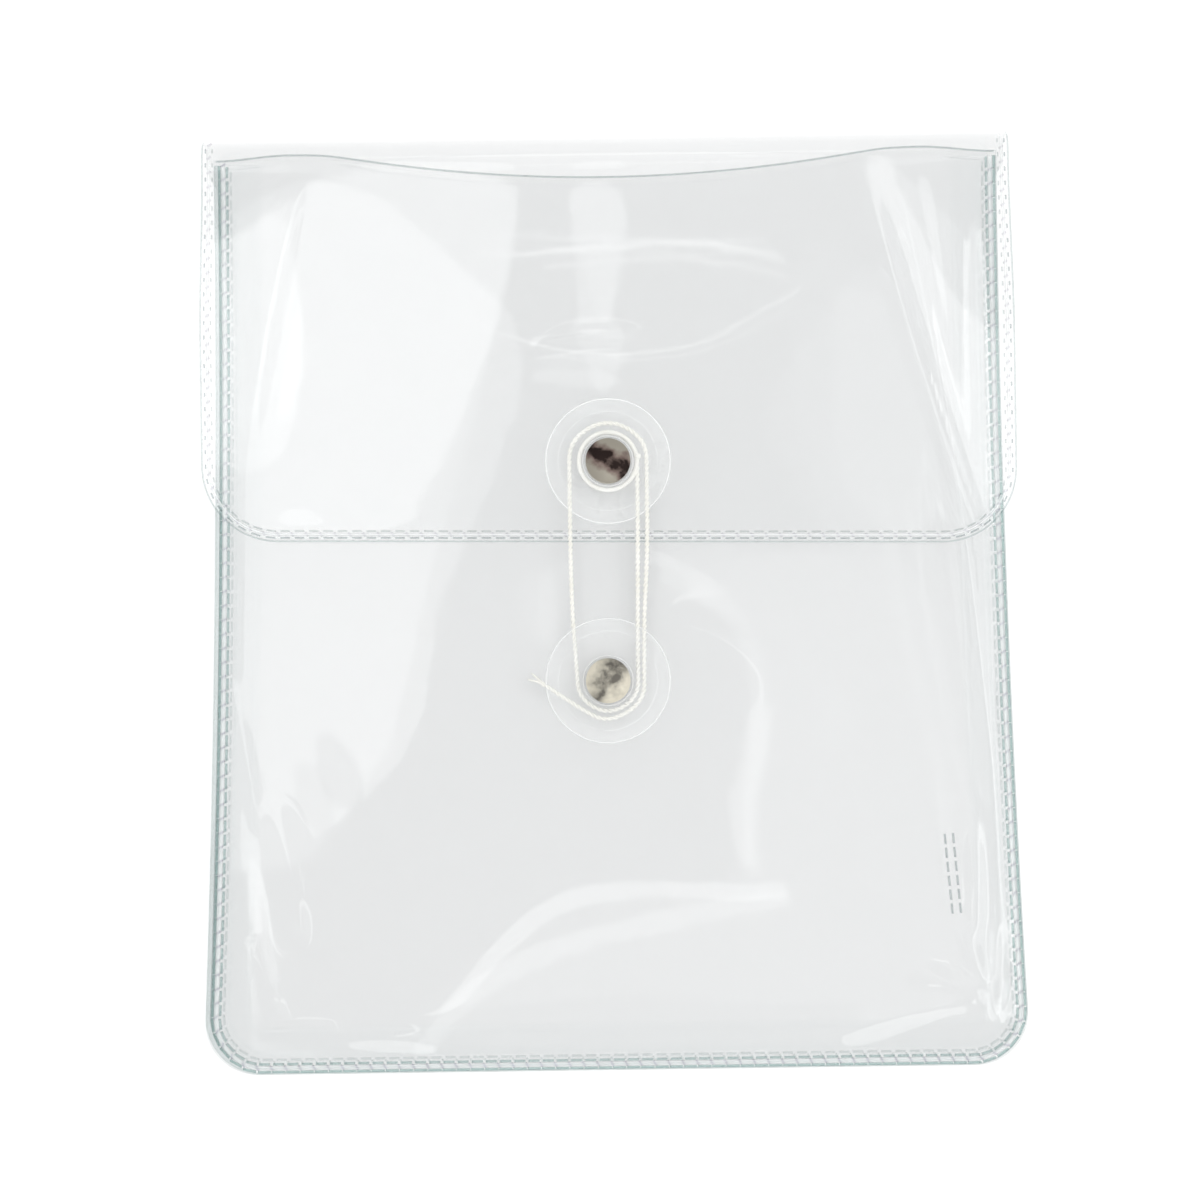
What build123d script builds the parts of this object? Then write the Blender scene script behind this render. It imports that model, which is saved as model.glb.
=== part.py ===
from build123d import *
import math
import os

# A clear vinyl portfolio case that lies on its back, closed. It is an envelope of two
# film panels joined by a pleated gusset along both sides and the bottom. The back panel
# folds over the mouth as a flap, and a string wound round two washer buttons holds it shut.
# Millimetres. X runs across the case, Y from the bottom seam to the flap's fold, Z up
# out of the surface that the case lies on. The origin is under the middle of the case.

# Driving sizes
CASE_LENGTH = 168.0  # bottom seam to the outside of the fold
FILM = 0.4  # thickness of the panels and the flap
GUSSET_FILM = 0.3  # thickness of the pleated gusset
MOUTH_HALF_WIDTH = 70.4  # at the mouth
MIDDLE_HALF_WIDTH = 72.3  # below the lower button
BOTTOM_HALF_WIDTH = 73.9  # just above the bottom corners
BOTTOM_CORNER_RADIUS = 10.0
MOUTH_Y = 81.0  # top edge of the front panel beside its dip
MOUTH_DIP_HALF_WIDTH = 50.0
MOUTH_DIP_DEPTH = 4.6
GUSSET_MOUTH_Y = 79.5
PANEL_GAP = 5.0  # from the back panel to the front panel, inside
FLAP_LIFT = 1.5  # from the front panel up to the flap
FOLD_HALF_WIDTH = 72.3
FLAP_HALF_WIDTH = 73.0
FLAP_WIDEST_Y = 48.0
FLAP_EDGE_Y = 10.8
FLAP_CORNER_RADIUS = 13.5
FOLD_GAP = 0.3  # between the flap and its fold, which are on two bodies
HINGE_BEYOND_FOLD = 0.3  # how far outside the fold the flap's hinge line lies

# Welded seams
WELD_FLANGE = 3.4  # width of the fused border
PLEAT_INSET = 8.0  # how far inside the edge the pleat folds
PLEAT_HALF_GAP = 0.15
STITCH_INSETS = (0.7, 2.2)  # the two rows of imitation stitches
STITCH_WIDTH = 0.45
STITCH_HEIGHT = 0.12
TACK_CENTRE = (60.7, -49.5)  # a short weld that tacks the pleat down
TACK_LENGTH = 15.0
TACK_TURN = 5.0  # degrees

# Buttons: a clear washer that spins on a nickel rivet
FLAP_BUTTON = (-0.2, 25.3)
POUCH_BUTTON = (-0.7, -14.0)
DISC_RADIUS = 11.3
DISC_THICKNESS = 0.8
DISC_EDGE_ROUND = 0.3
HUB_RADIUS = 4.5
HUB_HEIGHT = 1.5
HUB_LIFT = 0.05  # running clearance above the film and under the cap
RING_RADIUS = 8.9  # moulded ring on the disc
COLLAR_RADIUS = 4.35  # moulded collar round the rivet's cap
RING_WIDTH = 0.4
RING_HEIGHT = 0.2
CAP_RADIUS = 4.0
CAP_HEIGHT = 1.1
CAP_RIM = 0.3
SHANK_RADIUS = 1.5
SPIN_CLEARANCE = 0.05
SHANK_BORE_RADIUS = 0.8
SHANK_BORE_DEPTH = 1.6
STUD_RADIUS = 0.75
STUD_LENGTH = 1.4
BASE_THICKNESS = 0.5
FILM_HOLE_RADIUS = 1.6

# Closure string
STRING_DIAMETER = 0.8
ANCHOR_LOOP_RADIUS = 5.15
KNOT_RADIUS = 0.62
STRING_ROUTE = [
    (5.0, 26.1, 8.35),  # out of the knot at the flap's button
    (5.0, 18.0, 8.40),
    (4.9, 9.0, 8.50),  # over the flap's edge
    (4.75, -1.5, 6.45),
    (4.65, -17.1, 6.45),  # round the pouch's button, close to its hub
    (-0.7, -20.2, 6.45),
    (-6.05, -17.1, 6.45),
    (-7.0, -1.5, 6.45),
    (-7.15, 9.0, 8.50),  # back up over the flap's edge
    (-7.1, 29.2, 8.35),  # round the flap's button
    (-0.2, 33.1, 8.35),
    (6.7, 29.2, 8.35),
    (6.65, 9.0, 8.50),  # down again
    (5.95, -1.5, 6.45),
    (5.75, -17.9, 6.45),  # round the pouch's button, outside the first turn
    (-0.9, -21.7, 6.45),
    (-6.3, -18.6, 6.45),
    (-11.4, -15.1, 6.35),  # the loose tail
    (-14.7, -12.9, 6.25),
]
HUB_CORNERS = {4: 4.8, 5: 4.8, 6: 4.8, 9: 6.1, 10: 6.1, 11: 6.1, 14: 6.0, 15: 5.2}

# Heights that follow
BOTTOM_Y = -CASE_LENGTH / 2
FRONT_Z = FILM + PANEL_GAP
FRONT_TOP_Z = FRONT_Z + FILM
FLAP_Z = FRONT_TOP_Z + FLAP_LIFT
FLAP_TOP_Z = FLAP_Z + FILM
FOLD_OUTER_RADIUS = FLAP_TOP_Z / 2
FOLD_INNER_RADIUS = FOLD_OUTER_RADIUS - FILM
FOLD_CENTRE_Y = CASE_LENGTH / 2 - FOLD_OUTER_RADIUS
FOLD_CENTRE_Z = FOLD_OUTER_RADIUS
MIRROR_Z = FRONT_TOP_Z / 2
PLEAT_Z = MIRROR_Z - PLEAT_HALF_GAP
ABOVE_MOUTH_Y = 100.0  # outlines run past the mouth and are cut back to it


def box_between(low, high):
    """A box from its lowest to its highest corner."""
    size = [b - a for a, b in zip(low, high)]
    centre = [(a + b) / 2 for a, b in zip(low, high)]
    return Pos(*centre) * Box(*size)


def pouch_outline(inset):
    """The pouch's outline on Z 0, moved in from the sides and the bottom."""
    corner_y = BOTTOM_Y + BOTTOM_CORNER_RADIUS
    middle_y = -35.0
    right = ThreePointArc(
        (MOUTH_HALF_WIDTH, ABOVE_MOUTH_Y),
        (MIDDLE_HALF_WIDTH, middle_y),
        (BOTTOM_HALF_WIDTH, corner_y),
    )
    bottom_right = right @ 1
    corner_right = Line(bottom_right, (bottom_right.X, BOTTOM_Y))
    bottom = Line((bottom_right.X, BOTTOM_Y), (-bottom_right.X, BOTTOM_Y))
    left = mirror(right, Plane.YZ)
    corner_left = mirror(corner_right, Plane.YZ)
    top = Line((-MOUTH_HALF_WIDTH, ABOVE_MOUTH_Y), (MOUTH_HALF_WIDTH, ABOVE_MOUTH_Y))
    face = make_face([right, corner_right, bottom, corner_left, left, top])
    corners = face.vertices().sort_by(Axis.Y)[:2]
    face = fillet(corners, BOTTOM_CORNER_RADIUS - 0.01)
    if inset:
        face = offset(face, -inset)
    return face


def flap_outline(inset):
    """The flap's outline on Z 0, from its fold to its free edge."""
    start_y = FOLD_CENTRE_Y - FOLD_GAP
    far = ABOVE_MOUTH_Y
    widen = (FLAP_HALF_WIDTH - FOLD_HALF_WIDTH) / (start_y - FLAP_WIDEST_Y)
    far_half_width = FOLD_HALF_WIDTH - (far - start_y) * widen
    points = [
        (far_half_width, far),
        (FLAP_HALF_WIDTH, FLAP_WIDEST_Y),
        (FLAP_HALF_WIDTH, FLAP_EDGE_Y),
        (-FLAP_HALF_WIDTH, FLAP_EDGE_Y),
        (-FLAP_HALF_WIDTH, FLAP_WIDEST_Y),
        (-far_half_width, far),
    ]
    face = make_face(Polyline(*points, close=True))
    corners = face.vertices().sort_by(Axis.Y)[:2]
    face = fillet(corners, FLAP_CORNER_RADIUS)
    if inset:
        face = offset(face, -inset)
    below_fold = Pos(0, start_y - far / 2) * Rectangle(4 * far, far)
    return face & below_fold


def below(solid, top_y):
    """The part of a solid that lies below a line across the case."""
    return solid & box_between((-100, -100, -5), (100, top_y, 20))


def plate(face, low_z, thickness):
    return Pos(0, 0, low_z) * extrude(face, thickness)


def film_hole(centre, low_z):
    return Pos(centre[0], centre[1], low_z) * Cylinder(FILM_HOLE_RADIUS, 4 * FILM)


def stitch_rows(outline, low_z, top_y):
    """Two raised rows that follow an outline at the stitch insets."""
    rows = Part()
    for inset in STITCH_INSETS:
        outer = outline(inset - STITCH_WIDTH / 2)
        inner = outline(inset + STITCH_WIDTH / 2)
        row = plate(outer, low_z, STITCH_HEIGHT) - plate(inner, low_z - 1, STITCH_HEIGHT + 2)
        rows += below(row, top_y)
    return rows


def gusset_leaf():
    """The back half of the pleat: a welded flange, then a slope inwards to the fold."""
    slope_angle = math.atan2(PLEAT_Z - FILM, PLEAT_INSET - WELD_FLANGE)
    skin = GUSSET_FILM / math.sin(slope_angle)
    flange = plate(pouch_outline(0), FILM, GUSSET_FILM)
    flange -= plate(pouch_outline(WELD_FLANGE + skin / 2), FILM - 1, GUSSET_FILM + 2)
    rise = PLEAT_Z - FILM
    low_face = Pos(0, 0, FILM) * pouch_outline(WELD_FLANGE)
    high_face = Pos(0, 0, PLEAT_Z) * pouch_outline(PLEAT_INSET)
    outside = loft([low_face.face(), high_face.face()], ruled=True)
    inner_low = Pos(0, 0, FILM) * pouch_outline(WELD_FLANGE + skin)
    inner_high = Pos(0, 0, FILM + rise) * pouch_outline(PLEAT_INSET + skin)
    inside = loft([inner_low.face(), inner_high.face()], ruled=True)
    return below(flange + (outside - inside), GUSSET_MOUTH_Y)


def front_panel():
    panel = below(plate(pouch_outline(0), FRONT_Z, FILM), MOUTH_Y)
    dip_edge = ThreePointArc(
        (-MOUTH_DIP_HALF_WIDTH, MOUTH_Y),
        (0, MOUTH_Y - MOUTH_DIP_DEPTH),
        (MOUTH_DIP_HALF_WIDTH, MOUTH_Y),
    )
    dip = make_face([dip_edge, Line(dip_edge @ 1, dip_edge @ 0)])
    panel -= plate(dip, FRONT_Z - 1, FILM + 2)
    return panel - film_hole(POUCH_BUTTON, FRONT_Z + FILM / 2)


def flap_fold():
    ring = Cylinder(FOLD_OUTER_RADIUS, 2 * FOLD_HALF_WIDTH)
    ring -= Cylinder(FOLD_INNER_RADIUS, 2 * FOLD_HALF_WIDTH + 2)
    tube = Pos(0, FOLD_CENTRE_Y, FOLD_CENTRE_Z) * Rot(0, 90, 0) * ring
    return tube & box_between((-100, FOLD_CENTRE_Y, -5), (100, 100, 20))


def washer_disc(centre, film_top):
    """A disc with its hub in one piece, bored to spin on the rivet's shank."""
    disc = Pos(0, 0, HUB_HEIGHT) * extrude(Circle(DISC_RADIUS), DISC_THICKNESS)
    disc = fillet(disc.edges().filter_by(GeomType.CIRCLE), DISC_EDGE_ROUND)
    disc += Pos(0, 0, HUB_LIFT) * extrude(Circle(HUB_RADIUS), HUB_HEIGHT - HUB_LIFT)
    disc_top = HUB_HEIGHT + DISC_THICKNESS
    for radius in (RING_RADIUS, COLLAR_RADIUS):
        ring = Circle(radius + RING_WIDTH / 2) - Circle(radius - RING_WIDTH / 2)
        disc += Pos(0, 0, disc_top) * extrude(ring, RING_HEIGHT)
    disc -= Cylinder(SHANK_RADIUS + SPIN_CLEARANCE, 20)
    return Pos(centre[0], centre[1], film_top) * disc


def rivet_cap(centre, film_top):
    """A low domed cap on a shank that reaches down through the film."""
    cap_z = HUB_HEIGHT + DISC_THICKNESS + HUB_LIFT
    rise = CAP_HEIGHT - CAP_RIM
    dome_radius = (CAP_RADIUS**2 + rise**2) / (2 * rise)
    cap = Pos(0, 0, cap_z) * extrude(Circle(CAP_RADIUS), CAP_HEIGHT)
    cap &= Pos(0, 0, cap_z + CAP_HEIGHT - dome_radius) * Sphere(dome_radius)
    cap += Pos(0, 0, -FILM) * extrude(Circle(SHANK_RADIUS), cap_z + FILM)
    cap -= Pos(0, 0, -FILM) * extrude(Circle(SHANK_BORE_RADIUS), SHANK_BORE_DEPTH)
    return Pos(centre[0], centre[1], film_top) * cap


def rivet_base(centre, film_top):
    """A flat cap under the film, with a stud pressed up into the shank."""
    base = Pos(0, 0, -FILM - BASE_THICKNESS) * extrude(Circle(CAP_RADIUS), BASE_THICKNESS)
    base = fillet(base.edges().sort_by(Axis.Z)[0], BASE_THICKNESS / 2)
    base += Pos(0, 0, -FILM) * extrude(Circle(STUD_RADIUS), STUD_LENGTH)
    return Pos(centre[0], centre[1], film_top) * base


def turn_at(route, i):
    """The route's turn at one of its points, in degrees."""
    before = Vector(*route[i]) - Vector(*route[i - 1])
    after = Vector(*route[i + 1]) - Vector(*route[i])
    return before.get_angle(after)


def closure_string():
    """Straight runs joined by tangent arcs, with the hubs' own size where it goes round."""
    radii = []
    for i in range(1, len(STRING_ROUTE) - 1):
        runs = [math.dist(STRING_ROUTE[j], STRING_ROUTE[j + 1]) for j in (i - 1, i)]
        largest = 0.45 * min(runs) / math.tan(math.radians(turn_at(STRING_ROUTE, i) / 2))
        radii.append(min(largest, HUB_CORNERS.get(i, largest)))
    path = FilletPolyline(*STRING_ROUTE, radius=radii)
    start = Plane(origin=path @ 0, z_dir=path % 0)
    string = sweep(start * Circle(STRING_DIAMETER / 2), path=path)
    section = math.pi * STRING_DIAMETER**2 / 4
    print("string radii", [round(r, 1) for r in radii])
    print("string length", round(path.length, 1))
    print("volume over section times length", round(string.volume / section / path.length, 4))
    return string


def string_anchor():
    """The string's end, tied in a loop round the flap button's hub."""
    loop = Torus(ANCHOR_LOOP_RADIUS, STRING_DIAMETER / 2)
    knot = Pos(ANCHOR_LOOP_RADIUS + 0.15, 0.8, 0) * Sphere(KNOT_RADIUS)
    height = STRING_ROUTE[0][2]
    return Pos(FLAP_BUTTON[0], FLAP_BUTTON[1], height) * (loop + knot)


def pleat_tack():
    """Two short raised rows beside the right-hand seam."""
    spacing = STITCH_INSETS[1] - STITCH_INSETS[0]
    row = Box(STITCH_WIDTH, TACK_LENGTH, STITCH_HEIGHT)
    rows = Pos(-spacing / 2, 0, 0) * row + Pos(spacing / 2, 0, 0) * row
    height = FRONT_TOP_Z + STITCH_HEIGHT / 2
    return Pos(TACK_CENTRE[0], TACK_CENTRE[1], height) * Rot(0, 0, TACK_TURN) * rows


back_panel = below(plate(pouch_outline(0), 0, FILM), FOLD_CENTRE_Y)
back_leaf = gusset_leaf()
flap_panel = plate(flap_outline(0), FLAP_Z, FILM)
flap_panel -= film_hole(FLAP_BUTTON, FLAP_Z + FILM / 2)
flap_start_y = FOLD_CENTRE_Y - FOLD_GAP

nodes = {
    "back_panel": back_panel,
    "gusset_back_leaf": back_leaf,
    "back_seam_weld": stitch_rows(pouch_outline, FILM + GUSSET_FILM, GUSSET_MOUTH_Y),
    "flap_fold": flap_fold(),
    "front_panel": front_panel(),
    "gusset_front_leaf": mirror(back_leaf, Plane.XY.offset(MIRROR_Z)),
    "front_seam_weld": stitch_rows(pouch_outline, FRONT_TOP_Z, GUSSET_MOUTH_Y),
    "pleat_tack_weld": pleat_tack(),
    "flap_panel": flap_panel,
    "flap_edge_weld": stitch_rows(flap_outline, FLAP_TOP_Z, flap_start_y),
    "flap_button_disc": washer_disc(FLAP_BUTTON, FLAP_TOP_Z),
    "flap_rivet_cap": rivet_cap(FLAP_BUTTON, FLAP_TOP_Z),
    "flap_rivet_base": rivet_base(FLAP_BUTTON, FLAP_TOP_Z),
    "pouch_button_disc": washer_disc(POUCH_BUTTON, FRONT_TOP_Z),
    "pouch_rivet_cap": rivet_cap(POUCH_BUTTON, FRONT_TOP_Z),
    "pouch_rivet_base": rivet_base(POUCH_BUTTON, FRONT_TOP_Z),
    "closure_string": closure_string(),
    "string_anchor_knot": string_anchor(),
}

os.makedirs("parts", exist_ok=True)
for name, shape in nodes.items():
    export_step(shape, f"parts/{name}.step")

hinge_y = FOLD_CENTRE_Y + FOLD_OUTER_RADIUS + HINGE_BEYOND_FOLD
print("flap hinge at y", round(hinge_y, 3), "z", round(FOLD_CENTRE_Z, 3))
print("mouth hinge at y", BOTTOM_Y + 1.5, "z", round(FRONT_Z + FILM / 2, 3))
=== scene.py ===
import logging
import math
from collections.abc import Callable
from dataclasses import dataclass
from enum import Enum

import bmesh
import bpy
import numpy as np
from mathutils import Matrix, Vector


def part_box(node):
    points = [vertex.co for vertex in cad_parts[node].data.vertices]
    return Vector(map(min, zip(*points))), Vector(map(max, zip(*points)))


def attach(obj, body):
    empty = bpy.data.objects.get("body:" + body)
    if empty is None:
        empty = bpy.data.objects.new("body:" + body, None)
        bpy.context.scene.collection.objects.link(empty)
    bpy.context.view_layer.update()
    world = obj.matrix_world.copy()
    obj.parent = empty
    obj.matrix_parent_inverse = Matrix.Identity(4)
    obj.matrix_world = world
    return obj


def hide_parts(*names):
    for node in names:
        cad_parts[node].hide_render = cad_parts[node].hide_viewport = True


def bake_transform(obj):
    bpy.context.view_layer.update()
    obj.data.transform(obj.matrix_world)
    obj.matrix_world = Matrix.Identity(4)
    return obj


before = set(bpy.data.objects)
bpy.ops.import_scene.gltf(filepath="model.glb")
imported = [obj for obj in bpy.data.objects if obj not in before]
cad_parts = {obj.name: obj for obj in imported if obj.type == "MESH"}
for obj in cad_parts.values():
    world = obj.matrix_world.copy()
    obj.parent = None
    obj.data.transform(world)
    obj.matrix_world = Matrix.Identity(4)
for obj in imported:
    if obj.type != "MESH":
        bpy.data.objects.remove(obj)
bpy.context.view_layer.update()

MM = 0.001
WHITE = (1.0, 1.0, 1.0, 1.0)
LOG = logging.getLogger("case")
Array = np.ndarray


# ---------------------------------------------------------------- sizes and small tools


class Body(Enum):
    """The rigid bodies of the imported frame."""

    POUCH = "pouch"
    FRONT = "front"
    FLAP = "flap"


@dataclass(frozen=True)
class CaseSizes:
    """The case's driving sizes in millimetres, with its heights read from the frame."""

    mouth_half_width: float = 70.4
    narrowest_y: float = 100.0
    middle_half_width: float = 72.3
    middle_y: float = -35.0
    film: float = 0.4
    gusset_film: float = 0.3
    corner_radius: float = 10.0
    flap_half_width: float = 73.0
    fold_half_width: float = 72.3
    flap_widest_y: float = 48.0
    flap_edge_y: float = 10.8
    flap_skew: float = -0.0145
    flap_corner_radius: float = 13.5
    mouth_y: float = 81.0
    mouth_dip: float = 4.6
    mouth_dip_half_width: float = 50.0
    weld_flange: float = 3.4
    pleat_inset: float = 8.0
    pleat_round: float = 0.5
    gusset_width: float = 17.1
    gusset_mouth_y: float = 79.5

    @staticmethod
    def corner(node: str, high: bool) -> Array:
        """The lowest or highest corner of a CAD node, in millimetres."""
        return np.array(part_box(node)[1 if high else 0]) / MM

    @property
    def bottom_y(self) -> float:
        """The bottom edge."""
        return float(self.corner("back_panel", False)[1])

    @property
    def bottom_half_width(self) -> float:
        """Half the width just above the bottom corners."""
        return float(self.corner("back_panel", True)[0])

    @property
    def front_top(self) -> float:
        """The height of the front panel's outer face."""
        return float(self.corner("front_panel", True)[2])

    @property
    def flap_top(self) -> float:
        """The height of the flap's outer face."""
        return float(self.corner("flap_panel", True)[2])

    @property
    def fold_centre(self) -> Array:
        """The middle of the fold's half tube, as Y and Z."""
        low, high = self.corner("flap_fold", False), self.corner("flap_fold", True)
        return np.array([low[1], (low[2] + high[2]) / 2])


def smooth(t: Array) -> Array:
    """0 below 0, 1 above 1, and 3 t squared less 2 t cubed between them."""
    t = np.clip(t, 0.0, 1.0)
    return t * t * (3 - 2 * t)


def unit(rows: Array) -> Array:
    """Each row brought to a length of one."""
    return rows / np.linalg.norm(rows, axis=1)[:, None]


def add_mesh(
    name: str,
    points: Array,
    faces: Array,
    finishes: list,
    slots: Array | None = None,
    shadow: bool = False,
) -> bpy.types.Object:
    """Makes a mesh piece.

    Args:
        name: the piece's name.
        points: its vertices in millimetres, one row each.
        faces: the vertex numbers of its faces, one row each.
        finishes: its materials.
        slots: the material number of each face, if there are several.
        shadow: whether it blocks light; clear pieces do not.

    Returns:
        The new object, at the origin.
    """
    mesh = bpy.data.meshes.new(name)
    faces = np.asarray(faces)
    mesh.vertices.add(len(points))
    mesh.vertices.foreach_set("co", (np.asarray(points) * MM).astype(np.float32).ravel())
    mesh.loops.add(faces.size)
    mesh.loops.foreach_set("vertex_index", faces.astype(np.int32).ravel())
    mesh.polygons.add(len(faces))
    starts = np.arange(len(faces), dtype=np.int32) * faces.shape[1]
    mesh.polygons.foreach_set("loop_start", starts)
    mesh.polygons.foreach_set("use_smooth", np.ones(len(faces), bool))
    for finish in finishes:
        mesh.materials.append(finish)
    if slots is not None:
        mesh.polygons.foreach_set("material_index", np.asarray(slots, np.int32))
    mesh.update(calc_edges=True)
    mesh.validate()
    piece = bpy.data.objects.new(name, mesh)
    piece.visible_shadow = shadow
    bpy.context.collection.objects.link(piece)
    LOG.info("%s: %d vertices", name, len(points))
    return piece


def grid_faces(rows: int, columns: int, wrap: bool = False) -> Array:
    """The quads of a grid of points.

    Args:
        rows: its rows.
        columns: its columns.
        wrap: whether its last column joins its first.

    Returns:
        Four vertex numbers for each quad.
    """
    i = np.arange(rows - 1)[:, None] * columns
    j = np.arange(columns if wrap else columns - 1)[None, :]
    k = (j + 1) % columns
    quads = np.stack([i + j, i + k, i + columns + k, i + columns + j], axis=-1)
    return quads.reshape(-1, 4)


def thicken(piece: bpy.types.Object, thickness: float) -> None:
    """Gives a film its thickness, half to each side, with the cut edge in the next material.

    Args:
        piece: the film.
        thickness: its thickness in millimetres.
    """
    solid = piece.modifiers.new("film", "SOLIDIFY")
    solid.thickness = thickness * MM
    solid.offset = 0.0
    solid.use_rim = True
    solid.material_offset_rim = 1


# ---------------------------------------------------------------- finishes


class Graph:
    """A short way to build a material's nodes."""

    def __init__(self, name: str) -> None:
        """Starts an empty node material."""
        self.material = bpy.data.materials.new(name)
        self.material.use_nodes = True
        self.tree = self.material.node_tree
        self.tree.nodes.clear()
        self.out = self.tree.nodes.new("ShaderNodeOutputMaterial")

    def node(self, kind: str, inputs: dict | None = None, **settings) -> bpy.types.Node:
        """Adds a node.

        Args:
            kind: the node's type, without ShaderNode in front.
            inputs: a value, or an output to link, for each named or numbered input.
            settings: the node's own settings.

        Returns:
            The node.
        """
        node = self.tree.nodes.new("ShaderNode" + kind)
        for key, value in settings.items():
            setattr(node, key, value)
        for key, value in (inputs or {}).items():
            if isinstance(value, bpy.types.NodeSocket):
                self.tree.links.new(value, node.inputs[key])
            else:
                node.inputs[key].default_value = value
        return node

    def value(self, kind: str, inputs: dict, **settings) -> bpy.types.NodeSocket:
        """Adds a node and gives its first output."""
        return self.node(kind, inputs, **settings).outputs[0]

    def finish(self, surface: bpy.types.NodeSocket) -> bpy.types.Material:
        """Links the surface and returns the material."""
        self.tree.links.new(surface, self.out.inputs["Surface"])
        return self.material


@dataclass(frozen=True)
class FilmFinish:
    """Clear glossy vinyl: a clear sheet that mirrors more at a glance, with faint ripples and scuffs."""

    name: str
    tint: tuple = (0.998, 0.999, 0.999, 1.0)
    mirror: float = 0.043
    grazing: float = 0.75
    roughness: float = 0.018
    ripple: float = 0.014
    scuff: float = 0.09
    haze: float = 0.0
    ripple_scale: float = 55.0
    patch_scale: float = 42.0
    grain_scale: float = 900.0
    cloud: tuple = (0.94, 0.95, 0.95, 1.0)

    def build(self) -> bpy.types.Material:
        """The film's material.

        The mirror share is the head-on share, plus the grazing share times the fifth power of
        one less the cosine of the view angle, plus the scuffs. The haze is a share of white.
        """
        g = Graph(self.name)
        place = g.node("TexCoord").outputs["Object"]
        wave = g.value("TexNoise", {"Vector": place, "Scale": self.ripple_scale, "Detail": 3.0})
        fine = {"Vector": place, "Scale": self.grain_scale, "Detail": 4.0, "Roughness": 0.7}
        grain = g.value("TexNoise", fine)
        broad = {"Vector": place, "Scale": self.patch_scale, "Detail": 5.0, "Roughness": 0.65}
        patch = g.value("TexNoise", broad)
        bump = g.value("Bump", {"Strength": self.ripple, "Distance": MM, "Height": wave})
        worn = g.value("MapRange", {0: patch, 1: 0.56, 2: 0.74, 3: 0.0, 4: 1.0})
        specks = g.value("MapRange", {0: grain, 1: 0.62, 2: 0.72, 3: 0.0, 4: self.scuff})
        scuffs = g.value("Math", {0: worn, 1: specks}, operation="MULTIPLY")
        dull = self.roughness * 2.2
        rough = g.value("MapRange", {0: patch, 1: 0.3, 2: 0.8, 3: self.roughness, 4: dull})
        facing = g.node("LayerWeight", {"Blend": 0.5, "Normal": bump}).outputs["Facing"]
        steep = g.value("Math", {0: facing, 1: 5.0}, operation="POWER")
        gain = g.value("Math", {0: steep, 1: self.grazing, 2: self.mirror}, operation="MULTIPLY_ADD")
        share = g.value("Math", {0: gain, 1: scuffs}, operation="ADD", use_clamp=True)
        clear = g.value("BsdfTransparent", {"Color": self.tint})
        gloss = g.value("BsdfGlossy", {"Color": WHITE, "Roughness": rough, "Normal": bump})
        film = g.value("MixShader", {0: share, 1: clear, 2: gloss})
        if not self.haze:
            return g.finish(film)
        cloud = g.value("BsdfDiffuse", {"Color": self.cloud})
        return g.finish(g.value("MixShader", {0: self.haze, 1: film, 2: cloud}))


@dataclass(frozen=True)
class NickelFinish:
    """Nickel with broad soft dark and light bands painted into its colour: a painted reflection of the
    surroundings in a domed cap.
    """

    name: str
    node: str
    turn: float
    dark: tuple
    middle: tuple
    light: tuple
    band_scale: float = 33.0

    def build(self) -> bpy.types.Material:
        """The nickel's material.

        A band runs across the cap's middle, its darkness a sine of the distance from the
        middle in the direction of the turn; noise breaks it up, and a ramp colours it. These
        bands are painted reflection.
        """
        low, high = np.array(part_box(self.node))
        centre = (low + high) / 2
        angle = math.radians(self.turn)
        reach = centre[0] * math.cos(angle) + centre[1] * math.sin(angle)
        g = Graph(self.name)
        place = g.node("TexCoord").outputs["Object"]
        band = {
            "Vector": g.value("Mapping", {"Vector": place, "Rotation": (0.0, 0.0, -angle)}),
            "Scale": self.band_scale,
            "Distortion": 2.4,
            "Detail": 3.0,
            "Detail Scale": 8.0,
            "Phase Offset": -20.0 * self.band_scale * reach,
        }
        bands = g.node("TexWave", band).outputs[1]
        folds = g.value("TexNoise", {"Vector": place, "Scale": 420.0, "Detail": 4.0, "Roughness": 0.6})
        fine = g.value("TexNoise", {"Vector": place, "Scale": 1500.0, "Detail": 3.0})
        broken = g.value("Math", {0: folds, 1: 0.9, 2: -0.45}, operation="MULTIPLY_ADD")
        level = g.value("Math", {0: bands, 1: broken}, operation="ADD", use_clamp=True)
        # painted reflection: the ramp turns the bands into dark and light colour on the cap
        ramp = g.node("ValToRGB", {0: level})
        stops = ramp.color_ramp.elements
        stops[0].position, stops[0].color = 0.0, self.dark
        stops[1].position, stops[1].color = 0.65, self.light
        stops.new(0.20).color = self.middle
        metal = {
            "Base Color": ramp.outputs[0],
            "Metallic": 1.0,
            "Roughness": g.value("MapRange", {0: fine, 3: 0.28, 4: 0.45}),
            "Normal": g.value("Bump", {"Strength": 0.15, "Distance": 0.2 * MM, "Height": fine}),
        }
        return g.finish(g.value("BsdfPrincipled", metal))


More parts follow.
